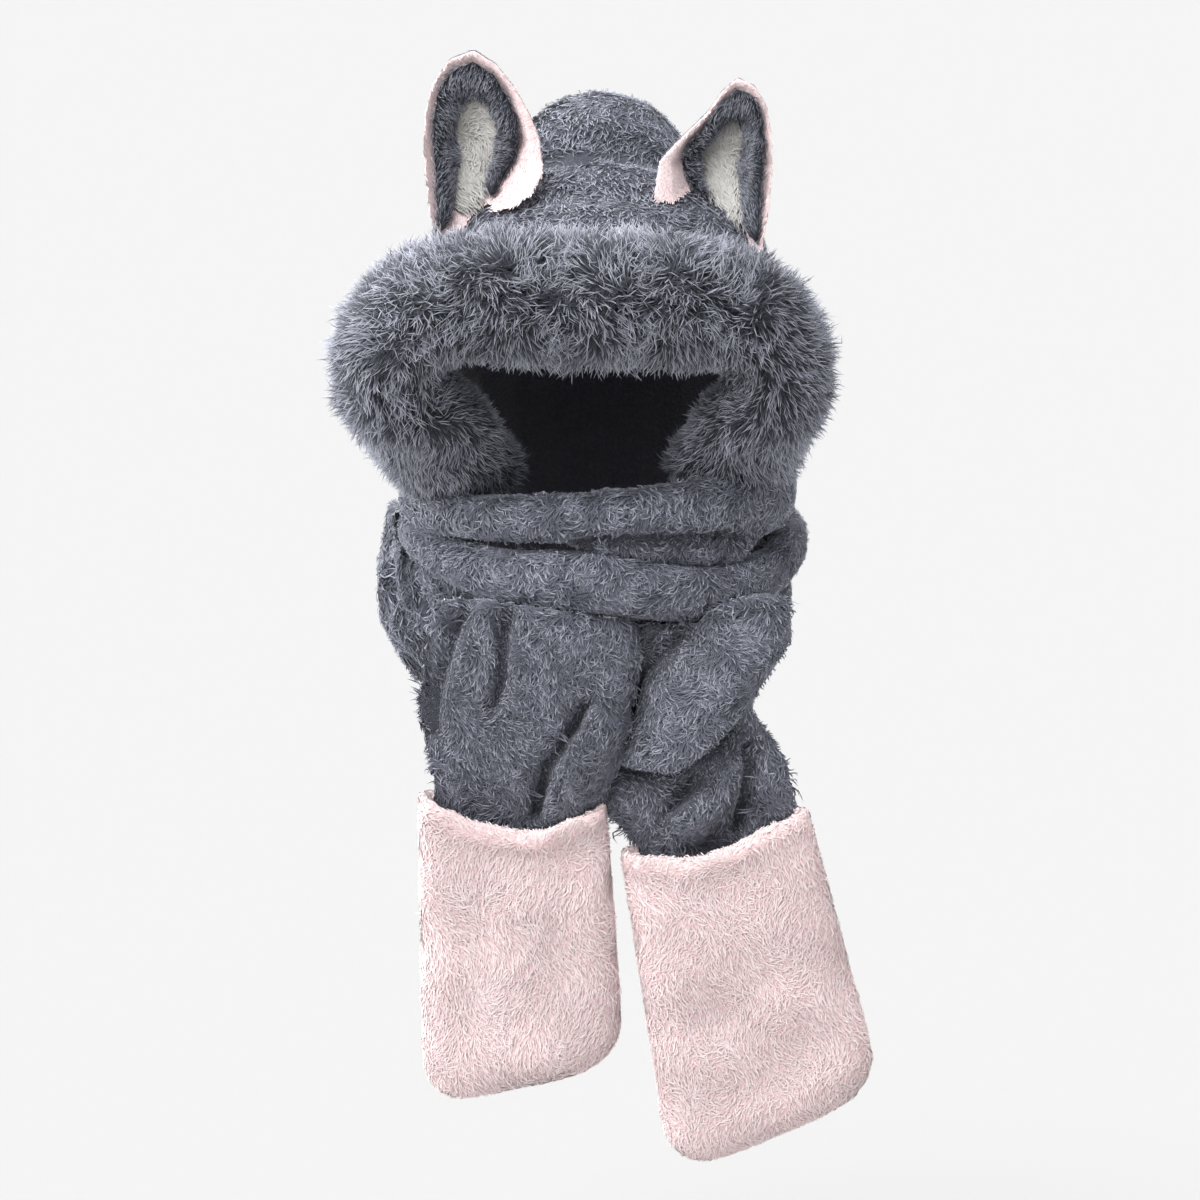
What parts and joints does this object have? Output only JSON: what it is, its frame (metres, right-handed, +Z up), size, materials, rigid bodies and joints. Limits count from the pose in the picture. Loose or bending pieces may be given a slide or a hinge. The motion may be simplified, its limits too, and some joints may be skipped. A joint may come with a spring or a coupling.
{
  "type": "animal hood scarf",
  "caption": "Plush hood with a deep fur trim and upright animal ears, its scarf ends wound round the neck and hanging down into two hand pockets.",
  "frame": {"origin": "on the underside of the crown, where the hood sits on top of the head, in the middle of the hood's width", "axes": "+Z up, -Y the way the face opening looks, +X to the right of someone who looks at the front"},
  "size_m": [0.4318, 0.321, 0.8953],
  "materials": {
    "grey_plush": "blue-grey curly plush pile with paler tips",
    "grey_long_fur": "long blue-grey fur, dark at the root and pale at the tip",
    "pink_plush": "pale pink short plush pile",
    "cream_plush": "cream short plush pile"
  },
  "bodies": {
    "root": {"hood_shell": "grey_plush", "hood_trim": "grey_long_fur", "ear_left_back": "grey_plush", "ear_left_lining": "pink_plush", "ear_left_ring": "grey_long_fur", "ear_left_center": "cream_plush", "ear_right_back": "grey_plush", "ear_right_lining": "pink_plush", "ear_right_ring": "grey_long_fur", "ear_right_center": "cream_plush", "scarf_band_upper": "grey_plush", "scarf_band_lower": "grey_plush", "scarf_back": "grey_plush", "scarf_end_left": "grey_plush", "scarf_end_right": "grey_plush", "pocket_left": "pink_plush", "pocket_right": "pink_plush"}
  },
  "joints": []
}
